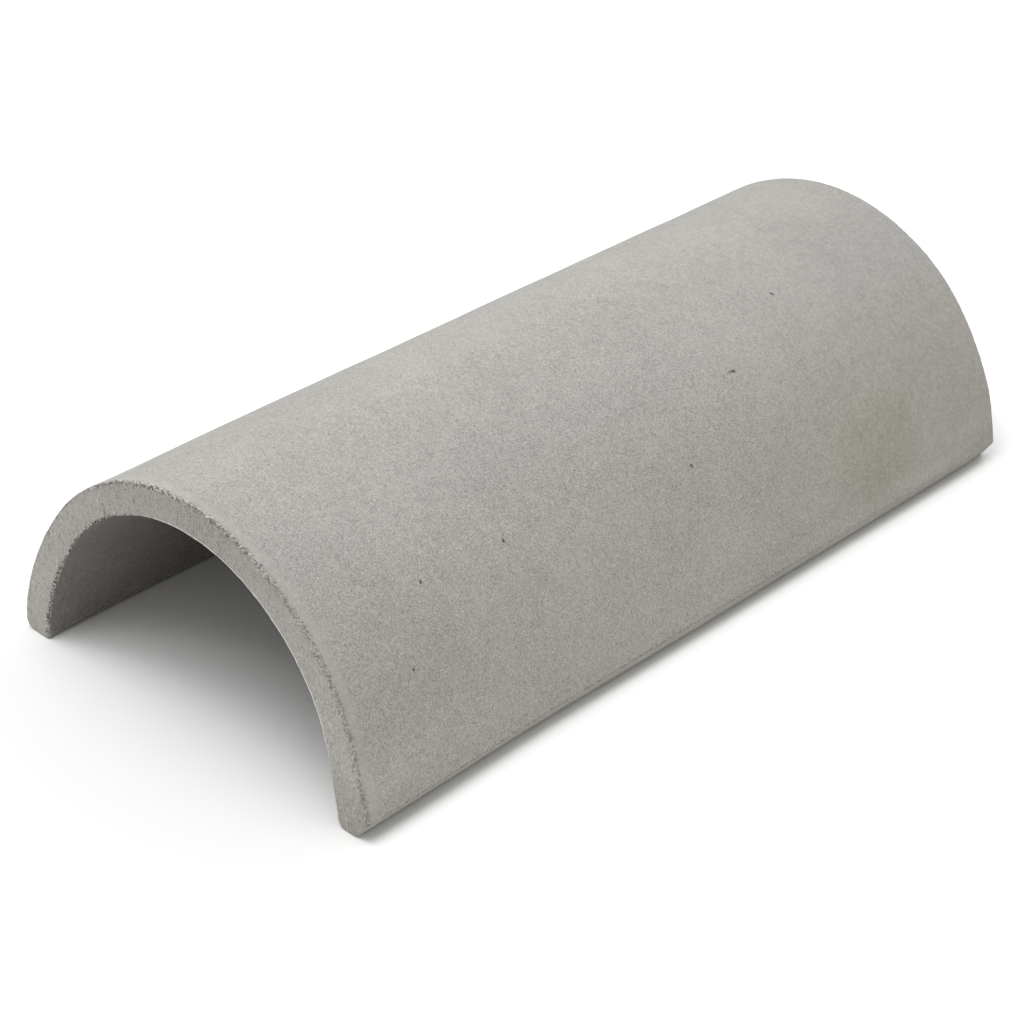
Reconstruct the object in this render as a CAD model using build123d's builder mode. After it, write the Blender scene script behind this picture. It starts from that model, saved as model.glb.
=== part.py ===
from build123d import *
import os

# Half-round concrete ridge tile, cast in one piece.
# Millimetres and degrees. X runs across the ridge, Y along it and Z up.
# The origin is on the bed that the tile stands on, under the middle of the tile.

# Overall sizes
LENGTH = 450.0  # from end face to end face
WIDTH = 226.4  # over the outside at the bed, before the bevels are cut
HEIGHT = 116.0  # from the bed to the top of the crown
WALL = 16.0  # the same all the way round the arch

# The outside is a three-centred arch: a round crown that runs into two flatter flanks
CROWN_RADIUS = 105.5
CROWN_REACH = 53.0  # how far the crown goes down on each side of the top, in degrees

# Feet
BEVEL_WIDTH = 7.2  # what the outer bevel takes off the sole
BEVEL_ANGLE = 56.0  # slope of the bevel against the bed, in degrees
BEVEL_EASING = 4.0  # radius where the bevel meets the flank and the sole
INNER_FOOT_RADIUS = 3.5  # radius between the sole and the inside

# Edges of the two end faces
ARRIS_RADIUS = 1.6

crown_centre = (0, HEIGHT - CROWN_RADIUS)
flank_end = (WIDTH / 2, 0)
bevel_start = (WIDTH / 2 - BEVEL_WIDTH, 0)
spare = 2 * WALL  # what is cut off at a foot is drawn this long

with BuildPart() as ridge_tile:
    with BuildSketch(Plane.XZ):
        # One half of the section. The outside is drawn from the top down and on below the bed,
        # and the wall is laid inwards from it, so that it is even.
        with BuildLine():
            crown = CenterArc(crown_centre, CROWN_RADIUS, 90, -CROWN_REACH)
            to_bed = TangentArc(crown @ 1, flank_end, tangent=crown % 1, mode=Mode.PRIVATE)
            turn_to_bed = (to_bed % 1).get_signed_angle(to_bed % 0)
            JernArc(crown @ 1, crown % 1, to_bed.radius, turn_to_bed * (1 + spare / to_bed.length))
            offset(amount=WALL, side=Side.RIGHT)
        make_face()

        # The bed cuts the foot off level
        split(bisect_by=Plane.XZ, keep=Keep.BOTTOM)

        # The bevel takes off all that lies outside a sloping line from the sole
        with Locations(bevel_start):
            Rectangle(spare, spare, rotation=BEVEL_ANGLE, align=(Align.MIN, Align.MAX), mode=Mode.SUBTRACT)

        # Rounded corners of the foot
        sole_corners, bevel_top = vertices().group_by(Axis.Y)[:2]
        fillet(sole_corners.sort_by(Axis.X)[0], radius=INNER_FOOT_RADIUS)
        fillet(vertices().sort_by_distance(bevel_start)[0], radius=BEVEL_EASING)
        fillet(vertices().sort_by_distance(bevel_top[0])[0], radius=BEVEL_EASING)
        mirror(about=Plane.YZ)

    # Both ways from the middle of the tile
    extrude(amount=LENGTH / 2, both=True)

    end_faces = faces().filter_by(Axis.Y)
    fillet(end_faces.edges(), radius=ARRIS_RADIUS)

ridge_tile.part.label = "ridge_tile"

os.makedirs("parts", exist_ok=True)
export_step(ridge_tile.part, "parts/ridge_tile.step")
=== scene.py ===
from math import atan2, cos, hypot, pi, radians, sin, sqrt

import bmesh
import bpy
from mathutils import Matrix, Vector


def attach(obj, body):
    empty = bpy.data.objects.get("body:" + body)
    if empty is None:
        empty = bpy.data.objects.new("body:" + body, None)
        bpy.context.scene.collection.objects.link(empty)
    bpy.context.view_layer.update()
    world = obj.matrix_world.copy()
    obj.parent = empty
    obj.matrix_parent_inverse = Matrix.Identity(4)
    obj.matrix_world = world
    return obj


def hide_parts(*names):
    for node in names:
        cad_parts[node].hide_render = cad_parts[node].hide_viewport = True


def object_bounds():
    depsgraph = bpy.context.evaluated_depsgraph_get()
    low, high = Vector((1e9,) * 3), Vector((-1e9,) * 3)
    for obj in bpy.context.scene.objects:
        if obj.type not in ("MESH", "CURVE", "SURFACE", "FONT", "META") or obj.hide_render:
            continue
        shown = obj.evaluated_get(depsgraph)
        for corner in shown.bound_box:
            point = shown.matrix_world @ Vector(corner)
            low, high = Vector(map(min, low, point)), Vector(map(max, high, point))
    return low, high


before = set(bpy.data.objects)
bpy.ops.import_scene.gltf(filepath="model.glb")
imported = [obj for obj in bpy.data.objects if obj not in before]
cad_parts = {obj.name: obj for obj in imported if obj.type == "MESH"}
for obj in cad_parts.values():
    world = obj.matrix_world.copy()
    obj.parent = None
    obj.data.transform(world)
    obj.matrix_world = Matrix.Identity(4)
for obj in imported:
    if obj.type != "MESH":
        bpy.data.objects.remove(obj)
cad_low, cad_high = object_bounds()

MM = 0.001
TOUCH = 0.01 * MM  # points nearer than this are one place
LEAST_WEIGHT = 0.001  # a vertex that weighs less is left out of its group

# The section is the solid's: a three-centred arch of even wall on two bevelled feet
LENGTH = cad_high.y - cad_low.y
HEIGHT = cad_high.z
BED_WIDTH = 226.4 * MM  # over the outside at the bed, before the bevels are cut
WALL = 16 * MM
CROWN_RADIUS = 105.5 * MM
CROWN_REACH = radians(53)
BEVEL_WIDTH = 7.2 * MM
BEVEL_HEIGHT = 9.1 * MM
INNER_ROUND = 4.0 * MM  # how far the rounding of each corner reaches along its two sides
SOLE_ROUND = 2.1 * MM
BEVEL_TOP_ROUND = 1.2 * MM
ARRIS = 0.9 * MM
SHARP = radians(60)  # an edge that turns more than this is an arris

FRONT = -LENGTH / 2
CROWN_CENTRE = Vector((0, FRONT, HEIGHT - CROWN_RADIUS))

# How closely the mesh is divided
CROWN_STEPS = 64
FLANK_STEPS = 41
ARRIS_STEPS = 3
END_ROWS = [2.0 * MM, 1.1 * MM, 1.3 * MM, 1.8 * MM, 2.4 * MM, 3.0 * MM, 3.6 * MM, 4.4 * MM]
MIDDLE_ROW = 9.5 * MM
PIT_ROWS = 6  # each middle row is cut into this many beside a pit
END_RING = 1.2 * MM  # the ring of faces inside the arris of an end
END_CELLS = 9  # across the rest of the wall's thickness
WORN_REACH = 4.0 * MM  # the mesh is finer this near to the arrises
CHIPPED_REACH = 2.9 * MM  # and finer again this near to the chipped ones

SOLE = 0.5 * MM  # what lies lower than this bears on the bed and isn't chipped
# Across the tile: the front's inner arris is crumbled left of the first place and whole right of the second
CRUMBLED_FROM_TO = (-55 * MM, -20 * MM)


def around(centre, radius, angle):
    """The point at that angle from straight up, to the right, on a circle in the end's plane."""
    return centre + radius * Vector((sin(angle), 0, cos(angle)))


# The flank's arc carries on from the crown's end and meets the bed at the half width
crown_end = around(CROWN_CENTRE, CROWN_RADIUS, CROWN_REACH)
inward = (CROWN_CENTRE - crown_end).normalized()
to_bed = Vector((BED_WIDTH / 2, FRONT, 0)) - crown_end
FLANK_RADIUS = to_bed.length_squared / (2 * to_bed.dot(inward))
FLANK_CENTRE = crown_end + FLANK_RADIUS * inward

# The flank's spin stops where the foot's outline takes over, this far above the level of its centre
FOOT_TURN = radians(10.4)
FLANK_TURN = pi / 2 - CROWN_REACH - FOOT_TURN


def level_point(radius, height):
    """The point at that height above the bed on the flank's arc of that radius."""
    across = sqrt(radius**2 - (height - FLANK_CENTRE.z) ** 2)
    return Vector((FLANK_CENTRE.x + across, FRONT, height))


def depth_in_wall(point):
    """How far a point lies inside the outer face."""
    across, up = abs(point.x), point.z - CROWN_CENTRE.z
    if atan2(across, up) < CROWN_REACH:
        return CROWN_RADIUS - hypot(across, up)
    return FLANK_RADIUS - hypot(across - FLANK_CENTRE.x, point.z - FLANK_CENTRE.z)


def depth_from_end(point):
    return LENGTH / 2 - abs(point.y)


def from_outer_arris(point):
    return hypot(depth_from_end(point), depth_in_wall(point))


def from_inner_arris(point):
    return hypot(depth_from_end(point), WALL - depth_in_wall(point))


def fade(value, full, none):
    """1 at full, 0 at none, smooth in between."""
    share = min(max((value - none) / (full - none), 0), 1)
    return share * share * (3 - 2 * share)


# Pits in the outer face: the angle from straight up, the place along the tile, the length, and the turn
# of the long axis from straight down the slope
PIT_WIDTH = 1.5 * MM
PIT_DEPTH = 0.8 * MM
PITS = [
    (radians(47.3), -160.9 * MM, 2.7 * MM, radians(-18)),
    (radians(48.1), -110.8 * MM, 2.7 * MM, radians(6)),
    (radians(64.2), -182.9 * MM, 2.2 * MM, radians(-13)),
    (radians(54.0), 8.7 * MM, 3.4 * MM, radians(17)),
    (radians(37.8), 62.5 * MM, 3.1 * MM, radians(23)),
    (radians(23.7), 117.8 * MM, 4.0 * MM, radians(37)),
]


def pit_frame(angle, along, lean):
    """The middle of a pit on the outer face, and a turn with its long axis, its width and the normal."""
    centre, radius = (CROWN_CENTRE, CROWN_RADIUS) if angle < CROWN_REACH else (FLANK_CENTRE, FLANK_RADIUS)
    direction = around(Vector(), 1, angle)
    sideways = (CROWN_CENTRE - centre).cross(direction).y
    outwards = direction.dot(centre - CROWN_CENTRE) + sqrt(radius**2 - sideways**2)
    middle = CROWN_CENTRE + outwards * direction
    normal = (middle - centre).normalized()
    middle.y = along
    downhill = Vector((normal.z, 0, -normal.x))
    long_axis = cos(lean) * downhill + sin(lean) * Vector((0, 1, 0))
    return middle, Matrix((long_axis, normal.cross(long_axis), normal)).transposed()


PIT_FRAMES = [(length, *pit_frame(angle, along, lean)) for angle, along, length, lean in PITS]


def pit_weight(point):
    """1 at the bottom of a pit, 0 at its rim and beyond."""
    for length, middle, turn in PIT_FRAMES:
        if (point - middle).length < length:
            local = turn.transposed() @ (point - middle)
            return fade(2 * hypot(local.x / length, local.y / PIT_WIDTH), 0.35, 1)
    return 0


def select_where(piece, kind, test):
    """Selects only those verts, edges or faces, as kind says, of the mesh being edited that pass the test."""
    bpy.ops.mesh.select_all(action="DESELECT")
    mesh = bmesh.from_edit_mesh(piece.data)
    for element in getattr(mesh, kind):
        if test(element):
            element.select_set(True)
    mesh.select_flush_mode()
    bmesh.update_edit_mesh(piece.data)


def start_piece(name, point):
    """A piece that is one selected vertex so far, with its object at the origin, in edit mode."""
    bpy.ops.object.select_all(action="DESELECT")
    bpy.ops.mesh.primitive_plane_add(size=WALL, location=point)
    bpy.ops.object.transform_apply(location=True, rotation=True, scale=True)
    piece = bpy.context.object
    piece.name = name
    bpy.ops.object.mode_set(mode="EDIT")
    bpy.ops.mesh.select_all(action="SELECT")
    bpy.ops.mesh.merge(type="CENTER")
    return piece


def draw_arc(centre, turn, steps):
    """Draws an arc on from the selected vertex. It goes clockwise as the front end is seen."""
    bpy.ops.mesh.spin(steps=steps, angle=turn, center=centre, axis=(0, -1, 0))


def draw_lines(corners):
    """Draws straight edges on from the selected vertex, which stands at the first corner."""
    for here, there in zip(corners, corners[1:]):
        bpy.ops.mesh.extrude_vertices_move(TRANSFORM_OT_translate={"value": there - here})


def round_corner(piece, corner, reach, segments):
    select_where(piece, "verts", lambda vert: (vert.co - corner).length < TOUCH)
    bpy.ops.mesh.bevel(affect="VERTICES", offset=reach, segments=segments)


def draw_half_outline(piece):
    """From the top of the crown down the outside, round the foot and up the inside to the crown again."""
    outer_top = around(FLANK_CENTRE, FLANK_RADIUS, pi / 2 - FOOT_TURN)
    bevel_end = level_point(FLANK_RADIUS, BEVEL_HEIGHT)
    sole_end = Vector((BED_WIDTH / 2 - BEVEL_WIDTH, FRONT, 0))
    bevel_middle = (bevel_end + sole_end) / 2
    inner_corner = level_point(FLANK_RADIUS - WALL, 0)
    inner_top = around(FLANK_CENTRE, FLANK_RADIUS - WALL, pi / 2 - FOOT_TURN)

    draw_arc(CROWN_CENTRE, CROWN_REACH, CROWN_STEPS)
    draw_arc(FLANK_CENTRE, FLANK_TURN, FLANK_STEPS)
    draw_lines([outer_top, bevel_end, bevel_middle, sole_end, inner_corner, inner_top])
    draw_arc(FLANK_CENTRE, -FLANK_TURN, FLANK_STEPS)
    draw_arc(CROWN_CENTRE, -CROWN_REACH, CROWN_STEPS)
    round_corner(piece, bevel_end, BEVEL_TOP_ROUND, segments=2)
    round_corner(piece, sole_end, SOLE_ROUND, segments=3)
    round_corner(piece, inner_corner, INNER_ROUND, segments=5)


def fill_section(piece):
    """The half outline is mirrored, joined along the crown and filled."""
    bpy.ops.object.mode_set(mode="OBJECT")
    mirror = piece.modifiers.new("other_half", "MIRROR")
    mirror.merge_threshold = TOUCH
    bpy.ops.object.modifier_apply(modifier=mirror.name)
    bpy.ops.object.mode_set(mode="EDIT")
    bpy.ops.mesh.select_all(action="SELECT")
    bpy.ops.mesh.edge_face_add()


def draw_length(piece):
    """The section is extruded along the tile row by row, in short rows near both ends."""
    middle = LENGTH - 2 * sum(END_ROWS)
    middle_rows = round(middle / MIDDLE_ROW)
    for row in END_ROWS + [middle / middle_rows] * middle_rows + END_ROWS[::-1]:
        bpy.ops.mesh.extrude_region_move(TRANSFORM_OT_translate={"value": (0, row, 0)})
    bpy.ops.mesh.select_all(action="SELECT")
    bpy.ops.mesh.normals_make_consistent(inside=False)


def round_arrises():
    bpy.ops.mesh.select_all(action="DESELECT")
    bpy.ops.mesh.edges_select_sharp(sharpness=SHARP)
    bpy.ops.mesh.bevel(affect="EDGES", offset=ARRIS, segments=ARRIS_STEPS)


def above_foot(point):
    """Whether a point is level with the top of the foot's outline or higher."""
    slack = radians(0.2)
    across = abs(point.x) - FLANK_CENTRE.x
    return atan2(point.z - FLANK_CENTRE.z, across) > FOOT_TURN - slack


def divide_end(piece, end):
    """An end face becomes a ring inside its arris and a grid across the wall."""
    select_where(piece, "faces", lambda face: len(face.verts) > 4 and face.verts[0].co.y * end > 0)
    bpy.ops.mesh.inset(thickness=END_RING, use_even_offset=True)
    bpy.ops.mesh.delete(type="ONLY_FACE")
    select_where(piece, "edges", lambda edge: edge.is_boundary and all(above_foot(v.co) for v in edge.verts))
    bpy.ops.mesh.bridge_edge_loops(number_cuts=END_CELLS - 1, interpolation="LINEAR")
    select_where(piece, "edges", lambda edge: edge.is_boundary)
    bpy.ops.mesh.fill()


def refine(piece, test):
    """Halves the size of the faces whose middle passes the test."""
    select_where(piece, "faces", lambda face: test(face.calc_center_median()))
    bpy.ops.mesh.subdivide(number_cuts=1)


def near_arris(point):
    reach = WORN_REACH if point.y < 0 else WORN_REACH / 2
    return min(from_outer_arris(point), from_inner_arris(point)) < reach


def near_chips(point):
    """Near the front's outer arris, or the left half of its inner one."""
    if point.y > 0:
        return False
    return from_outer_arris(point) < CHIPPED_REACH or point.x < 0 and from_inner_arris(point) < CHIPPED_REACH


def near_pit(point, reach):
    return any((point - middle).length < reach for length, middle, turn in PIT_FRAMES)


def split_rows(piece):
    """The long faces beside a pit are cut across first, so that they are about square."""
    bpy.ops.mesh.select_mode(type="EDGE")
    long_edge = MIDDLE_ROW / 2
    reach = MIDDLE_ROW
    select_where(piece, "edges", lambda e: e.calc_length() > long_edge and near_pit(e.verts[0].co, reach))
    bpy.ops.mesh.subdivide(number_cuts=PIT_ROWS - 1)
    bpy.ops.mesh.select_mode(type="VERT")


def refine_mesh(piece):
    refine(piece, near_arris)
    refine(piece, near_chips)
    split_rows(piece)
    for reach in (4.5 * MM, 3.2 * MM, 2.4 * MM):
        refine(piece, lambda point: near_pit(point, reach))


def note_places(piece):
    """Keeps, for the material, where each vertex was in the wall before the casting's faults moved it."""
    noted = {"depth_in_wall": depth_in_wall, "depth_from_end": depth_from_end, "pit": pit_weight}
    for name, measure in noted.items():
        attribute = piece.data.attributes.new(name, "FLOAT", "POINT")
        attribute.data.foreach_set("value", [measure(vertex.co) for vertex in piece.data.vertices])


def weigh(piece, name, weight):
    """A vertex group that holds the weight, a function of the vertex's place, wherever it isn't 0."""
    group = piece.vertex_groups.new(name=name)
    for vertex in piece.data.vertices:
        share = weight(vertex.co)
        if share > LEAST_WEIGHT:
            group.add([vertex.index], share, "REPLACE")
    return group.name


def displace(piece, name, weight, strength, direction="NORMAL", lump_size=None, middle=0.5):
    """Moves the surface by the strength times the weight, evenly or in lumps of that size."""
    push = piece.modifiers.new(name, "DISPLACE")
    push.vertex_group = weigh(piece, name, weight)
    push.direction = direction
    push.strength = strength
    push.mid_level = 0
    if lump_size:
        clouds = bpy.data.textures.new(name, "CLOUDS")
        clouds.noise_scale = lump_size
        clouds.noise_depth = 1
        push.texture = clouds
        push.texture_coords = "LOCAL"
        push.mid_level = middle
    bpy.ops.object.modifier_apply(modifier=push.name)
    if lump_size:
        bpy.data.textures.remove(clouds)
    piece.vertex_groups.remove(piece.vertex_groups[name])


def near_foot(point, side, end, reach):
    """1 at the bottom of the foot on that side at that end, falling to 0 over the reach along the tile."""
    if point.x * side < 0:
        return 0
    return fade(abs(point.y - end), 0, reach) * fade(point.z, 10 * MM, 90 * MM)


def across_wall(point):
    """0 on the outer face, 1 on the inner one."""
    return min(max(depth_in_wall(point) / WALL, 0), 1)


def front_left_foot(point):
    return near_foot(point, -1, FRONT, 90 * MM)


def front_left_leg(point):
    return near_foot(point, -1, FRONT, 120 * MM)


def back_right_leg(point):
    return near_foot(point, 1, -FRONT, 120 * MM)


def front_right_foot(point):
    return near_foot(point, 1, FRONT, 90 * MM) * fade(point.z, 15 * MM, 65 * MM)


def front_right_flank(point):
    """Only the outer face, low down."""
    return near_foot(point, 1, FRONT, 130 * MM) * fade(point.z, 16 * MM, 38 * MM) * (1 - across_wall(point))


def right_bevel(point):
    """From the middle of the tile to near the back end."""
    if point.x < 0 or depth_in_wall(point) > WALL / 2:
        return 0
    along = fade(point.y, 0, FRONT + 60 * MM) * fade(point.y, -FRONT - 20 * MM, -FRONT)
    return along * fade(point.z, 4 * MM, 14 * MM)


def left_bevel(point):
    """Mostly its lower part, and less and less towards the back."""
    if point.x > 0 or depth_in_wall(point) > WALL / 2:
        return 0
    along = fade(abs(point.y - FRONT), 0, LENGTH)
    return along * fade(point.z, 3 * MM, 9.5 * MM) * fade(point.z, 1.5 * MM, 0)


def left_heel(point):
    """The rounded corner of the left foot on the inside, less and less towards the back."""
    if point.x > 0 or depth_in_wall(point) < WALL / 2:
        return 0
    return fade(abs(point.z - 1 * MM), 0, 3.5 * MM) * fade(abs(point.y - FRONT), 0, LENGTH)


def front_left_shoulder(point):
    up = fade(point.x, -80 * MM, -20 * MM) * fade(point.z, 70 * MM, 30 * MM)
    return up * fade(point.y, FRONT, FRONT / 2)


def back_right_shoulder(point):
    return fade(point.x, 95 * MM, 20 * MM) * fade(point.z, 40 * MM, 10 * MM) * fade(point.y, -FRONT, 0)


def above_feet(point):
    return fade(point.z, 25 * MM, 3 * MM)


def settle_shape(piece):
    """How this casting differs from a true one. Its outline in the photograph shows it."""
    displace(piece, "right_foot_forward", front_right_foot, -3.4 * MM, "Y")
    displace(piece, "right_leg_back", back_right_leg, 1.3 * MM, "Y")
    displace(piece, "left_leg_out", front_left_leg, -0.4 * MM, "X")
    displace(piece, "left_foot_forward", front_left_foot, -0.8 * MM, "Y")
    displace(piece, "left_bevel_out", left_bevel, -3.6 * MM, "X")
    displace(piece, "right_flank_out", front_right_flank, 2.7 * MM, "X")
    displace(piece, "right_bevel_out", right_bevel, 1.2 * MM, "X")
    displace(piece, "left_heel_in", left_heel, 2.0 * MM, "X")
    displace(piece, "front_shoulder_low", front_left_shoulder, -0.6 * MM)
    displace(piece, "back_shoulder_out", back_right_shoulder, 0.8 * MM)
    displace(piece, "waves", above_feet, 0.6 * MM, lump_size=70 * MM)
    displace(piece, "hollows", above_feet, 0.25 * MM, lump_size=22 * MM)


def outer_chipping(point):
    """Strong along the front's arris from the crown to the right foot, slight elsewhere."""
    if point.z < SOLE:
        return 0
    share = fade(point.x, -45 * MM, -75 * MM) * 0.8 + 0.2 if point.y < 0 else 0.2
    return share * fade(from_outer_arris(point), 0.9 * MM, 2.8 * MM)


def inner_chipping(point):
    """Strong on the left leg, slight elsewhere."""
    if point.z < SOLE:
        return 0
    share = fade(point.x, *CRUMBLED_FROM_TO) * 0.9 + 0.1
    return share * fade(from_inner_arris(point), 0.8 * MM, 2.2 * MM)


def on_end_face(point):
    return fade(depth_from_end(point), 0.2 * MM, 0.8 * MM)


def wear_arrises(piece):
    """Crumbled edges and the uneven grain of the sawn ends."""
    displace(piece, "end_grain", on_end_face, 0.35 * MM, "Y", lump_size=3.5 * MM)
    displace(piece, "outer_bites", outer_chipping, -1.3 * MM, lump_size=3.0 * MM, middle=0.4)
    displace(piece, "outer_crumbs", outer_chipping, -1.2 * MM, lump_size=1.3 * MM, middle=0.45)
    displace(piece, "inner_bites", inner_chipping, -1.2 * MM, lump_size=2.4 * MM, middle=0.42)
    displace(piece, "inner_crumbs", inner_chipping, -1.2 * MM, lump_size=1.1 * MM, middle=0.45)


piece = start_piece("ridge_tile_cast", around(CROWN_CENTRE, CROWN_RADIUS, 0))
draw_half_outline(piece)
fill_section(piece)
draw_length(piece)
round_arrises()
for end in (FRONT, -FRONT):
    divide_end(piece, end)
refine_mesh(piece)
bpy.ops.mesh.select_all(action="SELECT")
bpy.ops.mesh.normals_make_consistent(inside=False)
bpy.ops.object.mode_set(mode="OBJECT")
note_places(piece)
displace(piece, "pits", pit_weight, -PIT_DEPTH)
wear_arrises(piece)
settle_shape(piece)

piece.data.shade_smooth()
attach(piece, "root")
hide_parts("ridge_tile")


class Shader:
    """Lays out the nodes of one material."""

    def __init__(self, name):
        self.material = bpy.data.materials.new(name)
        self.material.use_nodes = True
        self.tree = self.material.node_tree
        self.surface = self.tree.nodes["Principled BSDF"]

    def feed(self, socket, value):
        """Links a value that the shader works out to a socket, or sets a plain one."""
        if isinstance(value, Value):
            self.tree.links.new(value.socket, socket)
        elif socket.type == "RGBA":
            socket.default_value = (*value, 1)
        else:
            socket.default_value = value

    def node(self, kind, settings, inputs, output=0):
        node = self.tree.nodes.new("ShaderNode" + kind)
        for name, setting in settings.items():
            setattr(node, name, setting)
        for place, value in inputs.items():
            self.feed(node.inputs[place], value)
        return Value(self, node.outputs[output])

    def mix(self, share, first, second):
        """A colour that goes from the first to the second as the share goes from 0 to 1."""
        # The node's colours are its inputs 6 and 7 and its output 2
        return self.node("Mix", {"data_type": "RGBA"}, {0: share, 6: first, 7: second}, output=2)

    def patches(self, place, size, detail=2, roughness=0.5):
        """A cloudy pattern around 0, of about that size, that stays between -1 and 1."""
        inputs = {"Vector": place, "Scale": 1 / size, "Detail": detail, "Roughness": roughness}
        return 2 * self.node("TexNoise", {}, inputs) - 1

    def noted(self, name):
        """A number that is kept on the mesh itself."""
        return self.node("Attribute", {"attribute_name": name}, {}, output="Fac")

    def blob(self, place, middle, turn, reach):
        """1 in the middle of an ellipsoid, falling to 0 at its rim."""
        settings = {"vector_type": "TEXTURE"}
        inputs = {"Vector": place, "Location": middle, "Rotation": turn.to_euler(), "Scale": reach}
        centred = self.node("Mapping", settings, inputs)
        return self.node("TexGradient", {"gradient_type": "SPHERICAL"}, {"Vector": centred}, output="Fac")


class Value:
    """A number, place or colour that a shader works out. Arithmetic on a number adds Math nodes."""

    def __init__(self, shader, socket):
        self.shader = shader
        self.socket = socket

    def math(self, operation, *numbers):
        return self.shader.node("Math", {"operation": operation}, dict(enumerate(numbers)))

    def __add__(self, other):
        return self.math("ADD", self, other)

    def __sub__(self, other):
        return self.math("SUBTRACT", self, other)

    def __rsub__(self, other):
        return self.math("SUBTRACT", other, self)

    def __mul__(self, other):
        return self.math("MULTIPLY", self, other)

    def __gt__(self, other):
        return self.math("GREATER_THAN", self, other)

    def __abs__(self):
        return self.math("ABSOLUTE", self)

    __radd__ = __add__
    __rmul__ = __mul__

    def over(self, other):
        """The longer side of the right triangle that the two numbers are the short sides of."""
        return self.math("SQRT", self * self + other * other)

    def larger(self, other):
        return self.math("MAXIMUM", self, other)

    def fade(self, full, none):
        """1 at full, 0 at none, smooth in between."""
        settings = {"interpolation_type": "SMOOTHSTEP"}
        return self.shader.node("MapRange", settings, {"Value": self, "From Min": none, "From Max": full})

    def scaled(self, factor):
        """The colour times a number."""
        return self.shader.node("VectorMath", {"operation": "SCALE"}, {"Vector": self, "Scale": factor})


# Concrete
CROWN_TONE = (0.417, 0.408, 0.383)
FLANK_TONE = (0.436, 0.415, 0.376)
END_TONE = (0.426, 0.408, 0.376)
MOSS_TONE = (0.408, 0.395, 0.332)
BEVEL_TONE = (0.408, 0.398, 0.352)
RUST_TONE = (0.450, 0.385, 0.355)
STAIN_PLACE = Vector((104 * MM, 134 * MM, 40 * MM))
STAIN_REACH = (44 * MM, 52 * MM, 36 * MM)
STREAK_LEAN = radians(-24)
STREAK_LENGTH = 5  # times its width
DRAG_LENGTH = 9
CONCRETE_ROUGHNESS = 0.92


class Places:
    """Where a point of the tile is, as numbers for the shader."""

    def __init__(self, shader):
        self.point = shader.node("TexCoord", {}, {}, output="Object")
        parts = [shader.node("SeparateXYZ", {}, {"Vector": self.point}, output=axis) for axis in "XYZ"]
        self.x, self.y, self.z = parts
        self.in_wall = shader.noted("depth_in_wall")
        self.from_end = shader.noted("depth_from_end")
        self.pit = shader.noted("pit")
        self.front = self.y.fade(-20 * MM, 20 * MM)
        self.left_leg = self.x.fade(*CRUMBLED_FROM_TO)
        self.outer_arris = self.from_end.over(self.in_wall)
        self.inner_arris = self.from_end.over(WALL - self.in_wall)
        self.end_face = self.from_end.fade(0.15 * MM, 0.7 * MM)
        self.outside = self.in_wall.fade(4 * MM, 8 * MM)
        inner_skin = self.in_wall.fade(WALL - 0.4 * MM, WALL - 2.0 * MM)
        self.inside = inner_skin * self.from_end.fade(2.0 * MM, 0.8 * MM)


class Patterns:
    """What the concrete itself shows, from its finest grain to clouds as wide as a hand."""

    def __init__(self, shader, at):
        self.sand = shader.patches(at.point, 0.5 * MM, detail=1)
        self.grain = shader.patches(at.point, 0.75 * MM, detail=2, roughness=0.6)
        self.crumbs = shader.patches(at.point, 1.0 * MM, detail=1)
        self.dots = shader.patches(at.point, 1.6 * MM, detail=1).fade(0.62, 0.42)
        self.coarse = shader.patches(at.point, 2.2 * MM, detail=1)
        self.ragged = shader.patches(at.point, 2.5 * MM)
        self.blots = shader.patches(at.point, 5 * MM, detail=1).fade(0.45, 0.25)
        self.mottle = shader.patches(at.point, 8 * MM, detail=3)
        self.drift = shader.patches(at.point, 14 * MM, detail=1)
        self.clouds = shader.patches(at.point, 60 * MM)
        # Slanting streaks of the sawn ends, and marks that were dragged along the mould
        lengthened = {"Vector": at.point, "Rotation": (0, STREAK_LEAN, 0), "Scale": (1, 1, 1 / STREAK_LENGTH)}
        streaks = shader.patches(shader.node("Mapping", {}, lengthened), 0.9 * MM, detail=1)
        self.streaks = streaks.fade(0.5, 0.2) * at.end_face
        lengthened = {"Vector": at.point, "Scale": (1, 1 / DRAG_LENGTH, 1)}
        drag = shader.patches(shader.node("Mapping", {}, lengthened), 9 * MM)
        self.drag = drag * at.z.fade(12 * MM, 45 * MM) * at.y.fade(40 * MM, -120 * MM) * at.outside


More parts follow.
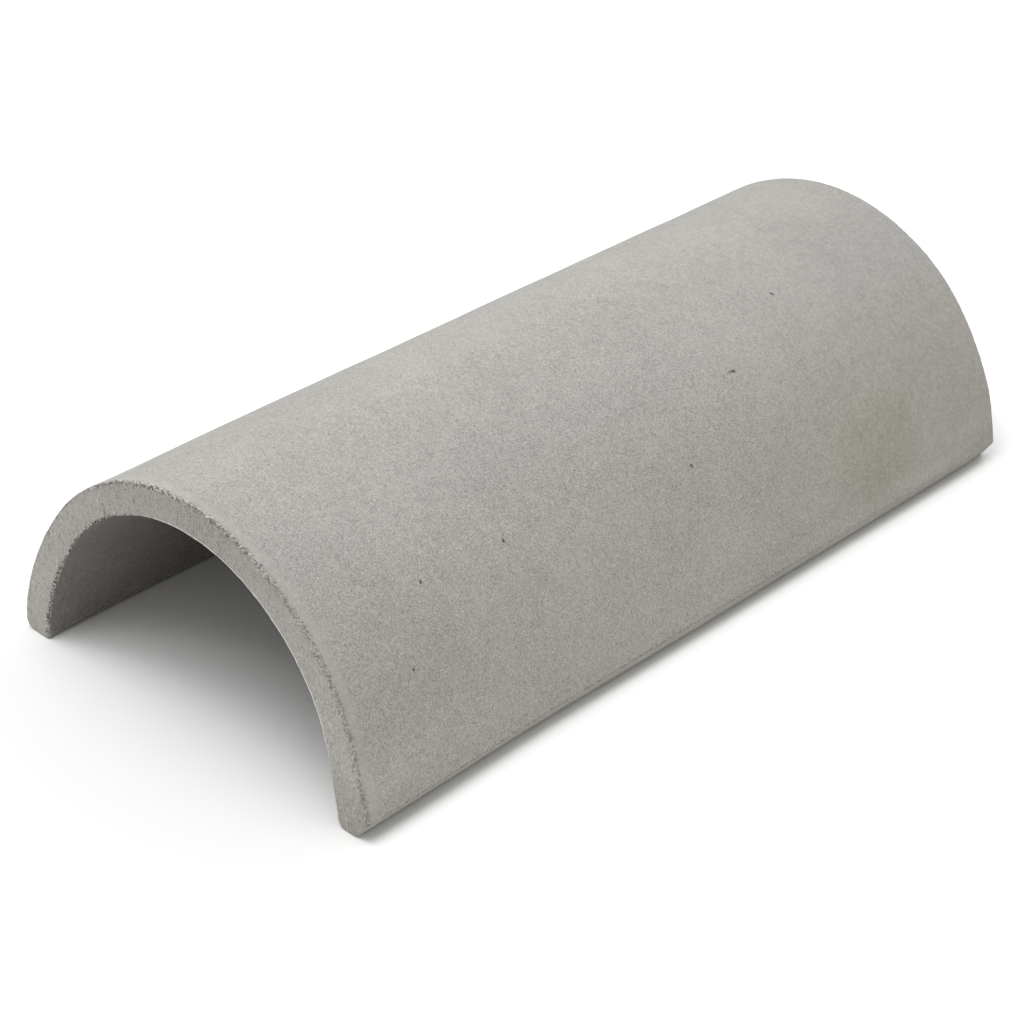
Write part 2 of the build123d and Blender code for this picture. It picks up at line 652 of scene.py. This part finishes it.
class WearAndHighlight:
    """Where the surface differs from plain concrete, and where a highlight is painted, as shares from 0 to 1.
    """

    def __init__(self, at, patterns):
        upper_share = 0.3 + 0.7 * at.x.fade(-45 * MM, -75 * MM)
        self.chipped = at.outer_arris.fade(0.9 * MM, 2.7 * MM) * at.front * upper_share
        self.crumbled = at.inner_arris.fade(0.8 * MM, 2.0 * MM) * at.front * at.left_leg
        # A painted highlight: a thin bright line on the right half of the front's inner arris, fading towards
        # the foot
        highlight_span = at.x.fade(0, -30 * MM) * at.z.fade(60 * MM, 15 * MM) * at.front
        self.edge_highlight = highlight_span * at.inner_arris.fade(0.9 * MM, 1.3 * MM)
        band = at.from_end.fade(2.8 * MM, 2.0 * MM) * at.from_end.fade(4.5 * MM, 8 * MM)
        self.smooth_band = band * at.front * at.outside
        bevel_line = at.z + 0.6 * MM * patterns.ragged - 0.5 * MM
        below_line = bevel_line.fade(BEVEL_HEIGHT - 0.3 * MM, BEVEL_HEIGHT + 0.3 * MM)
        self.bevel = below_line * at.in_wall.fade(9 * MM, 11 * MM)
        border = abs(bevel_line - (BEVEL_HEIGHT + 0.2 * MM)).fade(0.2 * MM, 0.8 * MM) * at.outside
        self.bevel_border = border * patterns.crumbs.fade(0.25, -0.15) * at.y.fade(-80 * MM, 350 * MM)
        rough = (1 - 0.75 * self.smooth_band) * (1 - 0.6 * self.bevel) * (1 - 0.2 * at.end_face)
        self.rough = rough * (0.5 + 0.8 * at.y.fade(20 * MM, 200 * MM))


def concrete_shade(at, patterns, wear_and_highlight):
    """What the tone is multiplied by."""
    speckle = 0.54 * patterns.grain - 0.15 * patterns.dots + at.end_face * 0.36 * patterns.sand
    broad = 0.09 * patterns.clouds + 0.09 * patterns.mottle + 0.15 * patterns.coarse + 0.14 * patterns.drag
    shade = 0.91 + broad + wear_and_highlight.rough * speckle
    # Painted light: paler left of the crown and low down on the flank; darker near the back end
    shade = shade + 0.07 * at.x.fade(-20 * MM, 22 * MM) - 0.06 * at.y.fade(215 * MM, 100 * MM)
    shade = shade * (1 + 0.06 * at.z.fade(20 * MM, 60 * MM))
    # The end faces: paler on the right leg, darker at its foot and at the crown, with dark streaks
    right_leg = 0.08 * at.x.fade(45 * MM, 10 * MM)
    right_foot = 0.14 * at.z.fade(18 * MM, 36 * MM) * (at.x > 0)
    end_shade = 0.05 + right_leg - right_foot - 0.10 * at.z.fade(108 * MM, 80 * MM)
    shade = shade * (1 + at.end_face * end_shade - 0.35 * patterns.streaks)
    # Painted shade under the arch, darkest deep in it
    shade = shade * (1 - at.inside * (0.40 + 0.10 * at.y.fade(-60 * MM, -200 * MM)))
    # Chipped arrises are speckled, and the whole half of the inner one has a thin painted highlight
    chip_contrast = 0.7 + 0.8 * at.x.fade(35 * MM, 60 * MM)
    shade = shade * (1 + wear_and_highlight.chipped * (chip_contrast * patterns.crumbs - 0.09))
    shade = shade * (1 + wear_and_highlight.crumbled * (1.9 * patterns.crumbs - 0.2))
    shade = shade * (1 + 0.04 * wear_and_highlight.smooth_band) * (1 + 1.2 * wear_and_highlight.edge_highlight)
    # Darker along the ragged border of the bevel, and painted shade in the pits
    return shade * (1 - 0.45 * wear_and_highlight.bevel_border) * (1 - 0.75 * at.pit)


def concrete_tone(shader, at, patterns, wear_and_highlight):
    stain = shader.blob(at.point, STAIN_PLACE, Matrix.Identity(3), STAIN_REACH) + 0.25 * patterns.drift
    spots = patterns.blots * at.y.fade(-195 * MM, -115 * MM)
    tone = shader.mix(at.z.fade(105 * MM, 70 * MM), FLANK_TONE, CROWN_TONE)
    tone = shader.mix(stain.fade(0.6, 0.1), tone, MOSS_TONE)
    tone = shader.mix(at.end_face, tone, END_TONE)
    tone = shader.mix(wear_and_highlight.bevel, tone, BEVEL_TONE)
    return shader.mix(0.6 * spots * wear_and_highlight.bevel, tone, RUST_TONE)


def concrete_relief(patterns, wear_and_highlight):
    """The height of the fine relief, in metres."""
    grain = 0.10 * MM * patterns.grain + 0.08 * MM * patterns.coarse - 0.12 * MM * patterns.dots
    crumbs = 0.3 * MM * patterns.crumbs * (wear_and_highlight.chipped + wear_and_highlight.crumbled)
    return wear_and_highlight.rough * grain - 0.12 * MM * patterns.streaks + crumbs


def concrete_material():
    shader = Shader("concrete")
    at = Places(shader)
    patterns = Patterns(shader, at)
    wear_and_highlight = WearAndHighlight(at, patterns)
    colour = concrete_tone(shader, at, patterns, wear_and_highlight).scaled(concrete_shade(at, patterns, wear_and_highlight))
    relief = concrete_relief(patterns, wear_and_highlight)
    bump = shader.node("Bump", {}, {"Strength": 1.0, "Distance": 1.0, "Height": relief})
    shader.feed(shader.surface.inputs["Base Color"], colour)
    shader.feed(shader.surface.inputs["Normal"], bump)
    shader.feed(shader.surface.inputs["Roughness"], CONCRETE_ROUGHNESS)
    return shader.material


piece.data.materials.clear()
piece.data.materials.append(concrete_material())

# The studio
FLOOR_SIZE = 12.0
FLOOR_BOUNCE = 0.8
FLOOR_WHITE = 1.0  # as the camera sees it
SKY_STRENGTH = 0.48
LAMP_SIZE = 1.7
LAMP_DISTANCE = 3.6
LAMPS = {  # elevation, azimuth and watts
    "overhead_lamp": (radians(90), radians(0), 18),
    "front_lamp": (radians(65), radians(0), 30),
    "left_lamp": (radians(65), radians(300), 34),
    "back_lamp": (radians(40), radians(180), 35),
}

# The camera, fitted to the tile's edges in the photograph
CAMERA_AZIMUTH = radians(42.102)
CAMERA_ELEVATION = radians(31.256)
CAMERA_ROLL = radians(1.819)
CAMERA_DISTANCE = 1347.0 * MM
CAMERA_SIDE = -12.577 * MM
CAMERA_RISE = 12.273 * MM
CAMERA_LENS = 96.718
CAMERA_SENSOR = 36
CAMERA_SIGHT = 100  # how far it sees


def direction_to(elevation, azimuth):
    """The direction of something at that elevation, at an azimuth that is 0 in front and 90 on the right."""
    return Vector((sin(azimuth) * cos(elevation), -cos(azimuth) * cos(elevation), sin(elevation)))


def place_camera():
    """The camera looks along its fitted direction, past the middle of the tile's bed by its side and rise."""
    back = direction_to(CAMERA_ELEVATION, CAMERA_AZIMUTH)
    level = Vector((cos(CAMERA_AZIMUTH), sin(CAMERA_AZIMUTH), 0))
    turn = Matrix((level, back.cross(level), back)).transposed() @ Matrix.Rotation(CAMERA_ROLL, 3, "Z")
    side, rise, back = turn.col
    place = CAMERA_DISTANCE * back + CAMERA_SIDE * side + CAMERA_RISE * rise
    camera = bpy.data.objects.new("camera", bpy.data.cameras.new("camera"))
    camera.matrix_world = Matrix.Translation(place) @ turn.to_4x4()
    camera.data.lens = CAMERA_LENS
    camera.data.sensor_width = CAMERA_SENSOR
    camera.data.clip_end = CAMERA_SIGHT
    bpy.context.scene.collection.objects.link(camera)
    bpy.context.scene.camera = camera


def place_lamp(name, elevation, azimuth, watts):
    towards = direction_to(elevation, azimuth)
    lamp = bpy.data.objects.new(name, bpy.data.lights.new(name, "AREA"))
    lamp.data.size = LAMP_SIZE
    lamp.data.energy = watts
    lamp.location = LAMP_DISTANCE * towards
    lamp.rotation_euler = (-towards).to_track_quat("-Z", "Y").to_euler()
    bpy.context.scene.collection.objects.link(lamp)


def light_sky():
    sky = bpy.data.worlds.new("sky")
    sky.use_nodes = True
    sky.node_tree.nodes["Background"].inputs["Color"].default_value = (1, 1, 1, 1)
    sky.node_tree.nodes["Background"].inputs["Strength"].default_value = SKY_STRENGTH
    bpy.context.scene.world = sky


def floor_material():
    """A pale floor that the camera and reflections see white."""
    shader = Shader("pale_floor")
    seen = shader.node("LightPath", {}, {}, output="Is Camera Ray")
    seen = seen.larger(shader.node("LightPath", {}, {}, output="Is Glossy Ray"))
    seen = seen.larger(shader.node("LightPath", {}, {}, output="Is Transmission Ray"))
    shader.feed(shader.surface.inputs["Base Color"], shader.mix(seen, [FLOOR_BOUNCE] * 3, [FLOOR_WHITE] * 3))
    shader.feed(shader.surface.inputs["Roughness"], 1.0)
    shader.feed(shader.surface.inputs["Specular IOR Level"], 0.0)
    return shader.material


def lay_floor():
    bpy.ops.object.select_all(action="DESELECT")
    bpy.ops.mesh.primitive_plane_add(size=FLOOR_SIZE, location=(0, 0, 0))
    floor = bpy.context.object
    floor.name = "floor"
    floor.data.materials.append(floor_material())


lay_floor()
light_sky()
for name, (elevation, azimuth, watts) in LAMPS.items():
    place_lamp(name, elevation, azimuth, watts)
place_camera()
bpy.context.scene.view_settings.view_transform = "Standard"
